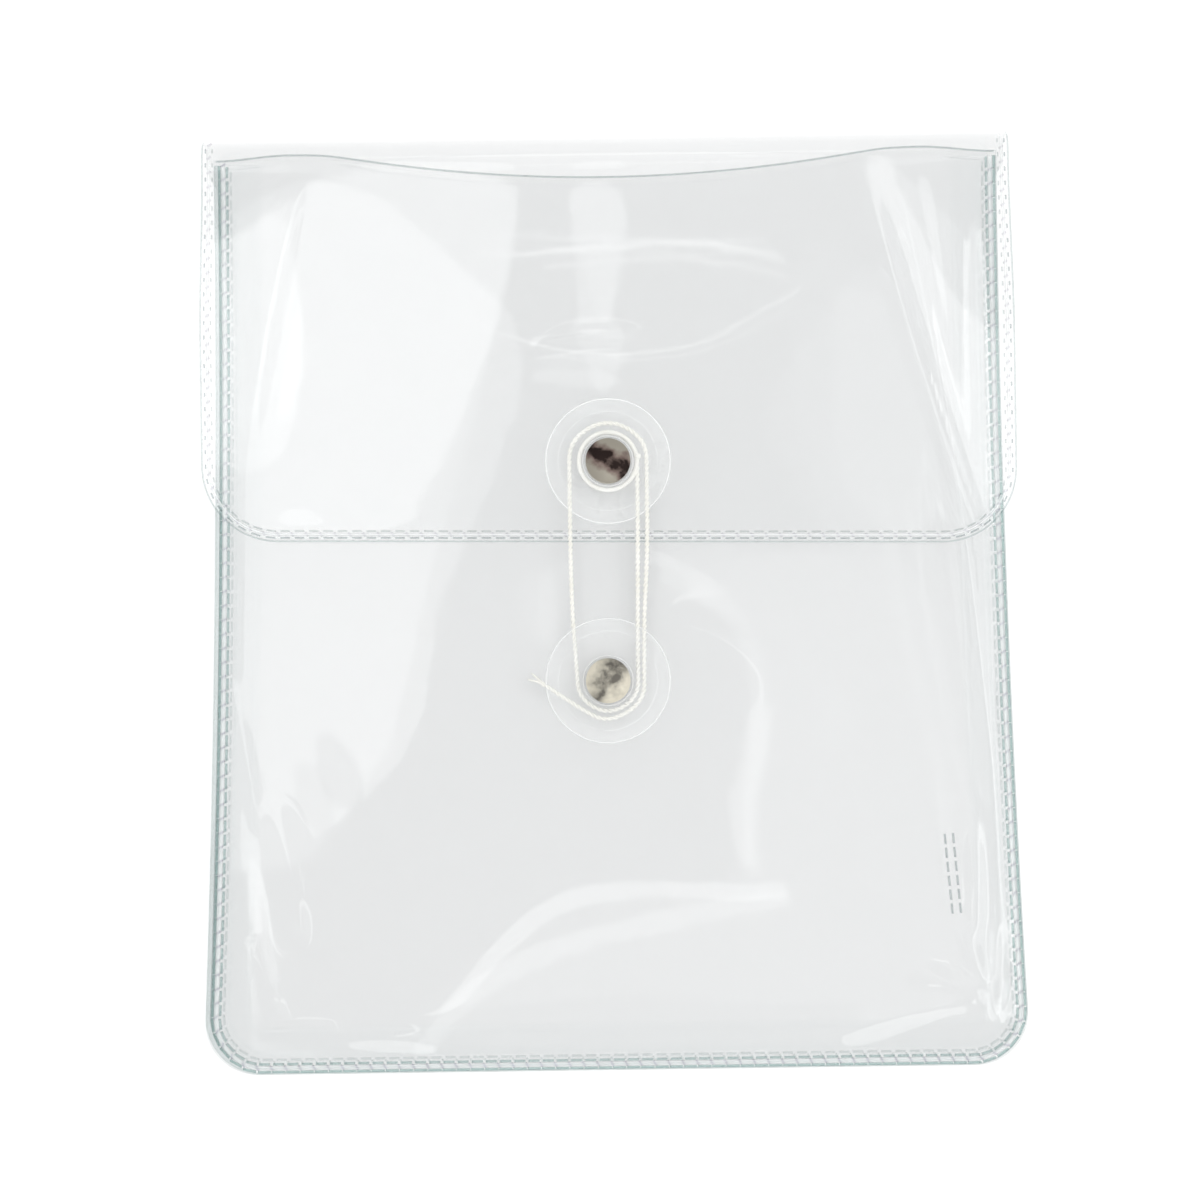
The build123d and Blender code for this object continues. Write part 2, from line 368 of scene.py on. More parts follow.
@dataclass(frozen=True)
class CottonFinish:
    """Off-white cotton: fine fibres in its colour and bump, with a soft sheen."""

    name: str = "cotton_yarn"
    light: tuple = (0.97, 0.965, 0.93, 1.0)
    shade: tuple = (0.87, 0.86, 0.79, 1.0)

    def build(self) -> bpy.types.Material:
        """The string's material: fine noise, shaded by a coarser one, between its two colours."""
        g = Graph(self.name)
        place = g.node("TexCoord").outputs["Object"]
        fibre = g.value("TexNoise", {"Vector": place, "Scale": 4200.0, "Detail": 4.0})
        soil = g.value("TexNoise", {"Vector": place, "Scale": 160.0, "Detail": 2.0})
        both = g.value("Math", {0: fibre, 1: 0.6, 2: soil}, operation="MULTIPLY_ADD")
        level = g.value("MapRange", {0: both, 1: 0.55, 2: 1.05, 3: 0.0, 4: 1.0})
        colour = g.node("Mix", {0: level, 6: self.shade, 7: self.light}, data_type="RGBA")
        cotton = {
            "Base Color": colour.outputs[2],
            "Roughness": 0.85,
            "Sheen Weight": 0.4,
            "Normal": g.value("Bump", {"Strength": 0.6, "Distance": 0.1 * MM, "Height": fibre}),
        }
        return g.finish(g.value("BsdfPrincipled", cotton))


class Finishes:
    """Every finish of the case, built once."""

    def __init__(self) -> None:
        """Builds the materials."""
        self.film = FilmFinish("vinyl_clear").build()
        # painted shade: the pouch's panels take a darker tint than the flap, though they are the same
        # vinyl, standing in for the shade under the case, since the films cast no shadow
        self.shaded_pouch_film = FilmFinish("vinyl_pouch_painted_shade", tint=(0.955, 0.957, 0.9575, 1.0)).build()
        self.gusset_film = FilmFinish("vinyl_folded", mirror=0.018, grazing=0.3).build()
        self.cut_edge = FilmFinish(
            "film_cut_edge", (0.80, 0.83, 0.83, 1.0), mirror=0.05, roughness=0.12, ripple=0.1, scuff=0.1
        ).build()
        self.faint_edge = FilmFinish("film_faint_edge", (0.87, 0.895, 0.895, 1.0), roughness=0.12).build()
        self.stitch_dark = self.pressed("weld_line", (0.73, 0.82, 0.81, 1.0), 0.05)
        self.stitch_teal = self.pressed("weld_stitch_teal", (0.79, 0.855, 0.85, 1.0), 0.05)
        self.stitch_grey = self.pressed("weld_stitch", (0.80, 0.825, 0.83, 1.0), 0.05)
        self.stitch_light = self.pressed("weld_stitch_light", (0.88, 0.895, 0.895, 1.0), 0.04)
        self.stitch_faint = self.pressed("weld_stitch_faint", (0.93, 0.945, 0.945, 1.0), 0.04)
        self.rung = self.pressed("weld_rung", (0.80, 0.79, 0.83, 1.0), 0.04)
        self.rung_light = self.pressed("weld_rung_light", (0.91, 0.905, 0.925, 1.0), 0.04)
        # painted highlight: the white haze makes the real pressed channel pale, standing in for the glints
        # along it
        self.weld_gloss = FilmFinish(
            "weld_channel_painted_highlight", (0.985, 0.995, 0.995, 1.0), mirror=0.1, roughness=0.3, ripple=0.3, haze=0.22
        ).build()
        self.disc = FilmFinish("disc_clear", mirror=0.05, roughness=0.15, haze=0.05).build()
        # painted highlight: a mostly white haze for the rings along the discs' real moulded edges
        self.disc_edge_highlight = FilmFinish(
            "disc_edge_painted_highlight", mirror=0.05, grazing=0.1, roughness=0.3, scuff=0.0, haze=0.6
        ).build()
        # the caps' dark and light bands are painted reflection
        self.upper_nickel = NickelFinish(
            "nickel_upper_painted_reflection",
            "flap_rivet_cap",
            55.0,
            (0.03, 0.021, 0.019, 1.0),
            (0.22, 0.165, 0.145, 1.0),
            (0.42, 0.39, 0.33, 1.0),
        ).build()
        self.lower_nickel = NickelFinish(
            "nickel_lower_painted_reflection",
            "pouch_rivet_cap",
            150.0,
            (0.17, 0.16, 0.14, 1.0),
            (0.54, 0.51, 0.43, 1.0),
            (0.86, 0.81, 0.68, 1.0),
            26.0,
        ).build()
        self.cotton = CottonFinish().build()

    @staticmethod
    def pressed(name: str, tint: tuple, mirror: float) -> bpy.types.Material:
        """The finish of stitches pressed into the film: tinted, rougher and more rippled than it.

        Args:
            name: the material's name.
            tint: what each face of a stitch lets through.
            mirror: its head-on mirror share.

        Returns:
            The material.
        """
        return FilmFinish(name, tint, mirror, roughness=0.15, ripple=0.15, scuff=0.1).build()


# ---------------------------------------------------------------- shape of the case


@dataclass(frozen=True)
class Crease:
    """A ridge or dent in a film along a line, in millimetres."""

    start: tuple
    end: tuple
    height: float
    width: float
    bow: float = 0.0

    def lift(self, x: Array, y: Array) -> Array:
        """How far the crease lifts the film.

        The height falls off across the line as exp of minus the square of the distance over
        the width, and along it as a half sine to the power 0.7. bow bends the line sideways as
        a parabola.

        Args:
            x: the points' x.
            y: the points' y.

        Returns:
            The lift at each point.
        """
        a, b = np.array(self.start, float), np.array(self.end, float)
        along = (b - a) / np.linalg.norm(b - a)
        t = ((x - a[0]) * along[0] + (y - a[1]) * along[1]) / np.linalg.norm(b - a)
        side = (y - a[1]) * along[0] - (x - a[0]) * along[1]
        side = side - self.bow * 4 * t * (1 - t)
        inside = np.sin(np.pi * np.clip(t, 0.0, 1.0)) ** 0.7
        return self.height * inside * np.exp(-((side / self.width) ** 2))


@dataclass(frozen=True)
class PouchShape:
    """The outline and the heights of the pouch's panels."""

    sizes: CaseSizes
    creases: tuple = (
        Crease((52.0, 78.0), (69.0, -40.0), 0.30, 1.6, 2.0),
        Crease((-54.0, 80.0), (-66.0, 20.0), 0.35, 1.8, -1.0),
        Crease((64.0, -36.0), (62.5, -76.0), 0.30, 1.7, 1.5),
        Crease((60.0, -56.0), (69.0, -79.0), 0.35, 1.2, 1.0),
        Crease((52.0, -66.0), (70.0, -70.0), 0.30, 1.4, -1.5),
        Crease((40.0, -79.0), (66.0, -72.0), 0.35, 1.5, 1.0),
        Crease((-62.0, -34.0), (-57.0, -62.0), 0.40, 2.2, 1.5),
        Crease((-66.0, -60.0), (-60.0, -80.0), 0.35, 1.3, 1.0),
        Crease((-52.0, -78.0), (-30.0, -80.0), 0.35, 1.6, 1.0),
        Crease((68.2, -58.0), (67.3, -75.5), 0.22, 0.7, 0.3),
        Crease((72.0, -66.0), (68.5, -76.0), 0.20, 0.6, 0.6),
        Crease((-66.3, -60.0), (-64.6, -78.5), 0.25, 0.7, -0.5),
        Crease((-66.0, -77.6), (-52.0, -80.6), 0.22, 0.7, -0.4),
        Crease((-70.0, -10.0), (-64.0, -40.0), 0.25, 1.0, 0.8),
        Crease((67.0, 20.0), (69.5, -62.0), 0.20, 1.5, 0.8),
        Crease((8.0, -4.0), (30.0, -14.0), 0.22, 3.5, 2.0),
    )
    ridge_inset: tuple = (3.5, 8.0)
    ridge_height: tuple = (0.22, 0.4)
    crown: float = 0.5
    slack: float = 0.9
    slack_half_width: float = 42.0
    wave: float = 0.10

    def half_width(self, y: Array) -> Array:
        """The side's distance from the middle: the parabola through its three known widths.

        Args:
            y: the places up the case.

        Returns:
            The half width at each.
        """
        s = self.sizes
        ys = np.array([s.narrowest_y, s.middle_y, s.bottom_y + s.corner_radius])
        widths = [s.mouth_half_width, s.middle_half_width, s.bottom_half_width]
        return np.polyval(np.polyfit(ys, widths, 2), y)

    def bottom(self, x: Array) -> Array:
        """The bottom edge: straight, with a quarter circle at each corner.

        Args:
            x: the places across the case.

        Returns:
            The edge's y at each.
        """
        s = self.sizes
        into = np.clip(np.abs(x) - (s.bottom_half_width - s.corner_radius), 0, s.corner_radius)
        return s.bottom_y + s.corner_radius - np.sqrt(s.corner_radius**2 - into**2)

    def mouth(self, x: Array) -> Array:
        """The front panel's top edge: a shallow dip that is a parabola, blended into straight ends.

        Args:
            x: the places across the case.

        Returns:
            The edge's y at each.
        """
        s = self.sizes
        depth = 1 - (x / s.mouth_dip_half_width) ** 2
        into = (depth + np.sqrt(depth**2 + 0.015)) / 2
        ends = 0.9 * smooth((np.abs(x) - 56.0) / 14.0)
        return s.mouth_y + 0.3 - s.mouth_dip * into - ends

    def bulge(self, x: Array, y: Array) -> Array:
        """How far the front panel stands above its plane.

        Each side rises smoothly from its seam over the ridge's inset, which grows from the
        bottom to the mouth, as the ridge's height does. A crown is a parabola across and a
        sine upwards. A slack dip under the mouth is a bell curve across, and slow waves are
        the product of two sines. The creases are added, and all of it dies away at the seams.

        Args:
            x: the points' x.
            y: the points' y.

        Returns:
            The lift at each point.
        """
        s = self.sizes
        edge = self.half_width(y)
        inside, above = edge - np.abs(x), y - self.bottom(x)
        up = np.clip((y - s.bottom_y) / (s.mouth_y - s.bottom_y), 0, 1)
        inset = self.ridge_inset[0] + self.ridge_inset[1] * up
        rise = smooth(inside / inset) * (self.ridge_height[0] + self.ridge_height[1] * up)
        crown = self.crown * (1 - (x / edge) ** 2) * np.sin(np.pi * up) ** 0.8
        dip = self.slack * np.exp(-((x / self.slack_half_width) ** 2)) * smooth((y - 30.0) / 45.0)
        waves = self.wave * np.sin(0.085 * x + 0.03 * y + 0.6) * np.sin(0.05 * y - 0.02 * x)
        hold = smooth(above / 12.0) * smooth(inside / 6.0)
        creased = sum(c.lift(x, y) for c in self.creases)
        return rise * smooth(above / 10.0) + (crown - dip + waves + creased) * hold

    def border(self, inset: float, top: float, step: float = 0.5, margin: float = 0.0) -> tuple:
        """The outline's path from the right of the mouth, round the bottom, to the left.

        Args:
            inset: how far inside the edge it runs, in millimetres.
            top: the y where it starts and ends.
            step: the spacing of its points.
            margin: how much further inside it runs up the left side.

        Returns:
            Points and inward normals, two columns each.
        """
        s = self.sizes
        radius = s.corner_radius
        sides = np.arange(top, s.bottom_y + radius, -step)
        right = np.stack([self.half_width(sides), sides], -1)
        angle = np.linspace(0, np.pi / 2, 28)[1:]
        centre = np.array([s.bottom_half_width - radius, s.bottom_y + radius])
        arc = centre + radius * np.stack([np.cos(angle), -np.sin(angle)], -1)
        across = np.arange(centre[0] - step, 0, -step)
        floor = np.stack([across, np.full_like(across, s.bottom_y)], -1)
        half = np.vstack([right, arc, floor])
        path = np.vstack([half, half[::-1] * [-1, 1]])
        left = margin * smooth((-path[:, :1] - centre[0]) / radius)
        return inset_path(path, inset + left)


def inset_path(path: Array, inset: float | Array) -> tuple:
    """Moves a path inwards along its normals.

    Args:
        path: its points, in rows.
        inset: how far it moves, or a column of distances.

    Returns:
        The moved points and their normals.
    """
    ahead = unit(np.gradient(path, axis=0))
    normal = np.stack([ahead[:, 1], -ahead[:, 0]], -1)
    return path + normal * inset, normal


def even(path: Array, values: Array, at: Array) -> tuple:
    """Reads a path at given distances along it.

    Args:
        path: its points, in rows.
        values: what it carries, a row for each point.
        at: the distances.

    Returns:
        The points there, and the values there.
    """
    run = np.concatenate([[0], np.cumsum(np.linalg.norm(np.diff(path, axis=0), axis=1))])
    points = np.stack([np.interp(at, run, path[:, k]) for k in range(path.shape[1])], -1)
    carried = np.stack([np.interp(at, run, values[:, k]) for k in range(values.shape[1])], -1)
    return points, carried


def length_of(path: Array) -> float:
    """A path's length."""
    return float(np.linalg.norm(np.diff(path, axis=0), axis=1).sum())


@dataclass(frozen=True)
class FlapShape:
    """The outline and the heights of the flap."""

    sizes: CaseSizes
    creases: tuple = (
        Crease((-14.0, 46.0), (8.0, 47.5), 0.12, 1.6, 1.5),
        Crease((-60.0, 14.0), (-30.0, 12.5), 0.25, 2.5, 0.5),
        Crease((45.0, 84.0), (68.5, 4.0), 0.20, 1.7, -1.5),
    )
    ridge: tuple = (55.0, 17.0, 0.30)
    spring: float = 0.25
    wave: float = 0.05

    def half_width(self, y: Array) -> Array:
        """The side's distance from the middle, widening smoothly from the fold.

        Args:
            y: the places up the flap.

        Returns:
            The half width at each.
        """
        s = self.sizes
        widen = smooth((s.fold_centre[0] - y) / (s.fold_centre[0] - s.flap_widest_y))
        return s.fold_half_width + (s.flap_half_width - s.fold_half_width) * widen

    def edge(self, x: Array) -> Array:
        """The free edge: a slightly skewed line with a quarter circle at each end.

        Args:
            x: the places across the flap.

        Returns:
            The edge's y at each.
        """
        s = self.sizes
        radius = s.flap_corner_radius
        into = np.clip(np.abs(x) - (s.flap_half_width - radius), 0, radius)
        return s.flap_edge_y + s.flap_skew * x + radius - np.sqrt(radius**2 - into**2)

    def bulge(self, x: Array, y: Array) -> Array:
        """How far the flap stands above its plane.

        A bell curve across lies over each of the pouch's ridges. The middle springs up as a
        squared cosine towards the free edge, and slow waves are a sine. The creases are
        added, and all of it dies away at the fold.

        Args:
            x: the points' x.
            y: the points' y.

        Returns:
            The lift at each point.
        """
        s = self.sizes
        from_fold = (s.fold_centre[0] - y) / (s.fold_centre[0] - s.flap_edge_y)
        away = smooth(from_fold * 1.6)
        place, reach, height = self.ridge
        sides = height * np.exp(-(((np.abs(x) - place) / reach) ** 2))
        lift = self.spring * smooth(from_fold) * np.cos(x / 60.0) ** 2
        waves = self.wave * (1 + np.sin(0.09 * x - 0.05 * y))
        creased = sum(c.lift(x, y) for c in self.creases)
        hold = smooth((self.half_width(y) - np.abs(x)) / 5.0)
        return away * (sides + lift + waves + creased * hold)

    def border(self, inset: float, top: float, step: float = 0.5, margin: float = 0.0) -> tuple:
        """The flap's path from the right of the fold, round its free edge, to the left.

        Args:
            inset: how far inside the edge it runs, in millimetres.
            top: the y where it starts and ends.
            step: the spacing of its points.
            margin: how much further inside it runs all round.

        Returns:
            Points and inward normals, two columns each.
        """
        s = self.sizes
        radius = s.flap_corner_radius
        halves = []
        for side in (1.0, -1.0):
            foot = float(self.edge(np.array([side * s.flap_half_width]))[0])
            sides = np.arange(top, foot, -step)
            straight = np.stack([side * self.half_width(sides), sides], -1)
            angle = np.linspace(0, np.pi / 2, 36)[1:]
            x = side * (s.flap_half_width - radius + radius * np.cos(angle))
            arc = np.stack([x, self.edge(x)], -1)
            across = side * np.arange(s.flap_half_width - radius - step, 0, -step)
            floor = np.stack([across, self.edge(across)], -1)
            halves.append(np.vstack([straight, arc, floor]))
        return inset_path(np.vstack([halves[0], halves[1][::-1]]), inset + margin)


def columns(corner_share: float, count: int) -> Array:
    """Columns across a panel that crowd together over its round corners.

    The corner's columns are evenly spaced in angle, as the sine of it.

    Args:
        corner_share: a corner's share of the half width.
        count: how many columns lie between the corners.

    Returns:
        Places from -1 to 1.
    """
    angle = np.linspace(0, np.pi / 2, 22)[1:]
    corner = 1 - corner_share + corner_share * np.sin(angle)
    middle = np.linspace(-(1 - corner_share), 1 - corner_share, count)
    return np.concatenate([-corner[::-1], middle, corner])


# ---------------------------------------------------------------- sub-assemblies


@dataclass
class FilmBody:
    """The two panels, the fold and the gusset."""

    sizes: CaseSizes
    pouch: PouchShape
    flap: FlapShape
    finishes: Finishes

    def front_panel(self) -> bpy.types.Object:
        """The front panel: a grid from the bottom edge to the dipped mouth, lifted by its bulge.

        Returns:
            The piece.
        """
        s, shape = self.sizes, self.pouch
        across = columns(s.corner_radius / s.bottom_half_width, 160)
        up = np.linspace(0, 1, 150)[:, None]
        guess = across * s.bottom_half_width
        low, high = shape.bottom(guess), shape.mouth(across * s.mouth_half_width)
        y = low + up * (high - low)
        x = across * shape.half_width(y)
        z = s.front_top - s.film / 2 + shape.bulge(x, y)
        points = np.stack([x, y, z], -1).reshape(-1, 3)
        # painted shade: the front panel wears the darker pouch tint
        piece = add_mesh(
            "front_film", points, grid_faces(*x.shape), [self.finishes.shaded_pouch_film, self.finishes.cut_edge]
        )
        thicken(piece, s.film)
        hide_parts("front_panel")
        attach(piece, Body.FRONT.value)
        width, length = 2 * s.bottom_half_width, s.mouth_y - s.bottom_y
        return piece

    def back_fold_flap(self) -> bpy.types.Object:
        """The back panel, the fold and the flap in one film.

        Rows follow the film: up the back, round the fold as a half circle, and down the flap
        to its free edge. The tabs widen from the pouch to the fold just below it.

        Returns:
            The piece.
        """
        s = self.sizes
        across = columns(s.flap_corner_radius / s.flap_half_width, 150)
        centre_y, centre_z = s.fold_centre
        radius = centre_z - s.film / 2
        up = np.linspace(0, 1, 110)[:, None]
        low = self.pouch.bottom(across * s.bottom_half_width)
        y_back = low + up * (centre_y - low)
        tab = smooth((y_back - 75.0) / 4.5)
        x_back = across * (self.pouch.half_width(y_back) * (1 - tab) + s.fold_half_width * tab)
        z_back = np.full_like(x_back, s.film / 2)
        turn = np.linspace(-np.pi / 2, np.pi / 2, 26)[1:-1, None]
        x_fold = across * s.fold_half_width + 0 * turn
        y_fold = centre_y + radius * np.cos(turn) + 0 * across
        z_fold = centre_z + radius * np.sin(turn) + 0 * across
        down = np.linspace(0, 1, 90)[:, None]
        free = self.flap.edge(across * s.flap_half_width)
        y_flap = centre_y + down * (free - centre_y)
        x_flap = across * self.flap.half_width(y_flap)
        z_flap = s.flap_top - s.film / 2 + self.flap.bulge(x_flap, y_flap)
        x = np.vstack([x_back, x_fold, x_flap])
        y = np.vstack([y_back, y_fold, y_flap])
        z = np.vstack([z_back, z_fold, z_flap])
        points = np.stack([x, y, z], -1).reshape(-1, 3)
        faces = grid_faces(*x.shape)[:, ::-1]
        # painted shade: faces of the back panel and the lower half of the fold take the darker pouch tint
        painted_shade_faces = faces[:, 0] < x_back.size + x_fold.size // 2
        f = self.finishes
        finishes = [f.film, f.cut_edge, f.shaded_pouch_film, f.cut_edge]
        piece = add_mesh("back_and_flap_film", points, faces, finishes, painted_shade_faces * 2)
        thicken(piece, s.film)
        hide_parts("back_panel", "flap_fold", "flap_panel")
        low_z, high_z = s.film, s.flap_top - s.film
        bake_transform(piece)
        length = centre_y - s.bottom_y + np.pi * radius + centre_y - s.flap_edge_y
        width = 2 * s.bottom_half_width
        return piece

    def gusset(self) -> bpy.types.Object:
        """The pleated gusset: a V profile with flat flanges, carried round the pouch's border.

        The profile is a chain of insets and heights. Its fold is rounded, and its top half
        is lifted by the front panel's bulge in proportion to the square of its height.

        Returns:
            The piece.
        """
        s = self.sizes
        low, high = s.film + s.gusset_film / 2, s.front_top - s.film - s.gusset_film / 2
        middle = (low + high) / 2
        turn = np.linspace(-np.pi / 2, np.pi / 2, 9)
        fold_inset = s.pleat_inset - s.pleat_round + s.pleat_round * np.cos(turn)
        fold_z = middle + s.pleat_round / 2 * np.sin(turn)
        flat = np.linspace(0.15, s.weld_flange, 4)
        slope = np.linspace(0, 1, 8)[1:-1]
        sloped_inset = s.weld_flange + slope * (fold_inset[0] - s.weld_flange)
        low_z = low + smooth(slope) * (fold_z[0] - low)
        insets = np.concatenate([flat, sloped_inset, fold_inset, sloped_inset[::-1], flat[::-1]])
        heights = np.concatenate(
            [np.full(4, low), low_z, fold_z, 2 * middle - low_z[::-1], np.full(4, high)]
        )
        border, normal = self.pouch.border(0.0, s.gusset_mouth_y, 1.0)
        x = border[:, :1] + normal[:, :1] * insets
        y = border[:, 1:] + normal[:, 1:] * insets
        share = np.clip((heights - low) / (high - low), 0, 1) ** 2
        z = heights + self.pouch.bulge(x, y) * share
        points = np.stack([x, y, z], -1).reshape(-1, 3)
        piece = add_mesh(
            "gusset_film", points, grid_faces(*x.shape), [self.finishes.gusset_film, self.finishes.cut_edge]
        )
        thicken(piece, s.gusset_film)
        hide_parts("gusset_back_leaf", "gusset_front_leaf")
        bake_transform(piece)
        return piece


class Row(Enum):
    """The rows of a welded seam's pattern."""

    OUTER = 0
    INNER = 1
    RUNGS = 2


@dataclass(frozen=True)
class Pattern:
    """A seam's stitches: each row's finish, the dashes' lengths, and where the rows run.

    upright is the share of a dash's length that is left where the border runs up and down.
    """

    outer: bpy.types.Material
    inner: bpy.types.Material
    rungs: bpy.types.Material
    dashes: tuple
    top: float
    insets: tuple
    width: float = 0.42
    margin: float = 0.0
    upright: float = 1.0

    @property
    def finishes(self) -> list:
        """The finishes in slot order."""
        return [self.outer, self.inner, self.rungs]


Shape = PouchShape | FlapShape
Surface = Callable[[Array, Array], Array]


@dataclass
class Seams:
    """The welded borders: imitation stitches, rungs between them, channels and cut edges."""

    sizes: CaseSizes
    pouch: PouchShape
    flap: FlapShape
    finishes: Finishes
    pitch: float = 2.55
    dash: float = 1.85
    tack_width: float = 0.42
    rung_width: float = 0.36
    rung_share: float = 0.72
    rung_slant: float = 0.6
    margin: float = 0.75
    past_fold: float = 3.0
    height: float = 0.14

    @staticmethod
    def bars(
        centres: Array, along: Array, across: Array, length: Array, width: Array, height: float
    ) -> tuple:
        """Low bars with sloped sides, one for each centre.

        Each bar's foot is a rectangle of its length and width, and its top is the same
        rectangle drawn in on each side by a quarter of its narrower size and raised by the height.

        Args:
            centres: their centres.
            along: the direction of each one's length.
            across: the direction of each one's width.
            length: their lengths.
            width: their widths.
            height: how high they stand.

        Returns:
            Their points and their quads.
        """
        signs = np.array([[-1, -1], [1, -1], [1, 1], [-1, 1]], float)
        half = np.stack([length, width], -1) / 2
        foot = signs[None] * half[:, None]
        top = signs[None] * (half - half.min(axis=1, keepdims=True) / 2)[:, None]
        flat = np.concatenate([foot, top], 1)
        place = centres[:, None, :2] + flat[..., :1] * along[:, None] + flat[..., 1:] * across[:, None]
        lift = np.concatenate([np.full(4, -0.03), np.full(4, height)])
        z = centres[:, None, 2] + lift[None]
        points = np.concatenate([place, z[..., None]], -1).reshape(-1, 3)
        box = np.array([[3, 2, 1, 0], [4, 5, 6, 7], [0, 1, 5, 4], [1, 2, 6, 5], [2, 3, 7, 6], [3, 0, 4, 7]])
        faces = (np.arange(len(centres))[:, None, None] * 8 + box[None]).reshape(-1, 4)
        return points, faces

    def ladder(
        self, name: str, node: str, body: Body, shape: Shape, pattern: Pattern, surface: Surface
    ) -> bpy.types.Object:
        """Two rows of dashes with a slanted rung after each, along a border.

        Args:
            name: the piece's name.
            node: the CAD node that it stands for.
            body: the body that it rides on.
            shape: the shape whose border it follows.
            pattern: its rows.
            surface: gives the film's face height at x and y.

        Returns:
            The piece.
        """
        path, normal = shape.border(sum(pattern.insets) / 2, pattern.top, 0.5, pattern.margin)
        count = int(length_of(path) / self.pitch)
        at = (np.arange(count) + 0.5) * length_of(path) / count
        centre, across = even(path, normal, at)
        across = unit(across)
        along = np.stack([-across[:, 1], across[:, 0]], -1)
        spread = (pattern.insets[1] - pattern.insets[0]) / 2
        share = pattern.upright + (1 - pattern.upright) * np.abs(along[:, 0])
        slant = unit(across + self.rung_slant * along)
        upright = np.stack([slant[:, 1], -slant[:, 0]], -1)
        between = centre + along * self.pitch / 2
        flat = np.vstack([centre - across * spread, centre + across * spread, between])
        z = surface(flat[:, 0], flat[:, 1])
        ones = np.ones(count)
        rung = ones * spread * 2 * self.rung_share
        points, faces = self.bars(
            np.column_stack([flat, z]),
            np.vstack([along, along, upright]),
            np.vstack([across, across, slant]),
            np.concatenate([share * pattern.dashes[0], share * pattern.dashes[1], ones * self.rung_width]),
            np.concatenate([ones * pattern.width, ones * pattern.width, rung]),
            self.height,
        )
        rows = np.repeat([Row.OUTER.value, Row.INNER.value, Row.RUNGS.value], count * 6)
        piece = add_mesh(name, points, faces, pattern.finishes, rows)
        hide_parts(node)
        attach(piece, body.value)
        return piece

    def bead(
        self,
        name: str,
        body: Body,
        border: tuple,
        surface: Surface,
        size: tuple,
        finish: bpy.types.Material,
    ) -> bpy.types.Object:
        """A slim bead: an ellipse carried along a path.

        Args:
            name: the piece's name.
            body: the body that it rides on.
            border: the path's points and its sideways directions.
            surface: gives the middle of the bead's height at x and y.
            size: the bead's width, or a column of widths along it, and its height.
            finish: its material.

        Returns:
            The piece.
        """
        path, normal = border
        turn = np.linspace(0, 2 * np.pi, 9)[:-1]
        x = path[:, :1] + normal[:, :1] * np.cos(turn) * size[0] / 2
        y = path[:, 1:] + normal[:, 1:] * np.cos(turn) * size[0] / 2
        z = surface(path[:, 0], path[:, 1])[:, None] + np.sin(turn) * size[1] / 2
        points = np.stack([x, y, z], -1).reshape(-1, 3)
        piece = add_mesh(name, points, grid_faces(*x.shape, wrap=True), [finish])
        close_ends(piece)
        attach(piece, body.value)
        return piece

    def front_face(self, x: Array, y: Array) -> Array:
        """The front panel's outer face."""
        return self.sizes.front_top + self.pouch.bulge(x, y)

    def front_middle(self, x: Array, y: Array) -> Array:
        """The middle of the front panel's film."""
        return self.front_face(x, y) - self.sizes.film / 2

    def flap_face(self, x: Array, y: Array) -> Array:
        """The flap's outer face, which goes down the fold's circle beyond its middle."""
        s = self.sizes
        centre_y, centre_z = s.fold_centre
        over = np.clip(y - centre_y, 0, centre_z)
        drop = centre_z - np.sqrt(centre_z**2 - over**2)
        return s.flap_top - drop + self.flap.bulge(x, y)

    def flap_middle(self, x: Array, y: Array) -> Array:
        """The middle of the flap's film."""
        return self.flap_face(x, y) - self.sizes.film / 2

    def back_face(self, x: Array, y: Array) -> Array:
        """The inner face of the gusset's flange on the back panel."""
        return np.full_like(x, self.sizes.film + self.sizes.gusset_film)

    def back_middle(self, x: Array, y: Array) -> Array:
        """The middle of the back panel's film."""
        return np.full_like(x, self.sizes.film / 2)

    def tack(self) -> bpy.types.Object:
        """The short double row beside the right-hand seam.

        Returns:
            The piece.
        """
        low, high = np.array(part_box("pleat_tack_weld")) / MM
        count = 6
        lean = math.radians(5.0)
        along = np.array([-math.sin(lean), math.cos(lean)])
        across = np.array([along[1], -along[0]])
        middle = (low[:2] + high[:2]) / 2
        step = (np.arange(count) - (count - 1) / 2) * (high[1] - low[1]) / count
        flat = np.vstack([middle + across * side + step[:, None] * along for side in (-0.75, 0.75)])
        many = len(flat)
        points, faces = self.bars(
            np.column_stack([flat, self.front_face(flat[:, 0], flat[:, 1])]),
            np.tile(along, (many, 1)),
            np.tile(across, (many, 1)),
            np.full(many, self.dash),
            np.full(many, self.tack_width),
            self.height,
        )
        piece = add_mesh("pleat_tack_stitches", points, faces, [self.finishes.stitch_grey])
        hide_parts("pleat_tack_weld")
        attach(piece, Body.FRONT.value)
        return piece

    def stitches(self) -> None:
        """The three ladders and the tack."""
        s, f = self.sizes, self.finishes
        insets, low, high = (0.45, 1.85), s.gusset_mouth_y, s.fold_centre[0] + self.past_fold
        front = Pattern(f.stitch_dark, f.stitch_teal, f.rung, (2.45, 2.0), low, insets, 0.48, self.margin)
        faint = f.stitch_faint
        back = Pattern(faint, faint, faint, (self.dash, self.dash), low, insets, 0.42, self.margin)
        flap = Pattern(
            f.stitch_grey, f.stitch_light, f.rung_light, (1.7, 1.7), high, (0.75, 1.95), 0.3, upright=0.45
        )
        self.ladder("front_stitches", "front_seam_weld", Body.FRONT, self.pouch, front, self.front_face)
        self.ladder("back_stitches", "back_seam_weld", Body.POUCH, self.pouch, back, self.back_face)
        self.ladder("flap_stitches", "flap_edge_weld", Body.FLAP, self.flap, flap, self.flap_face)
        self.tack()

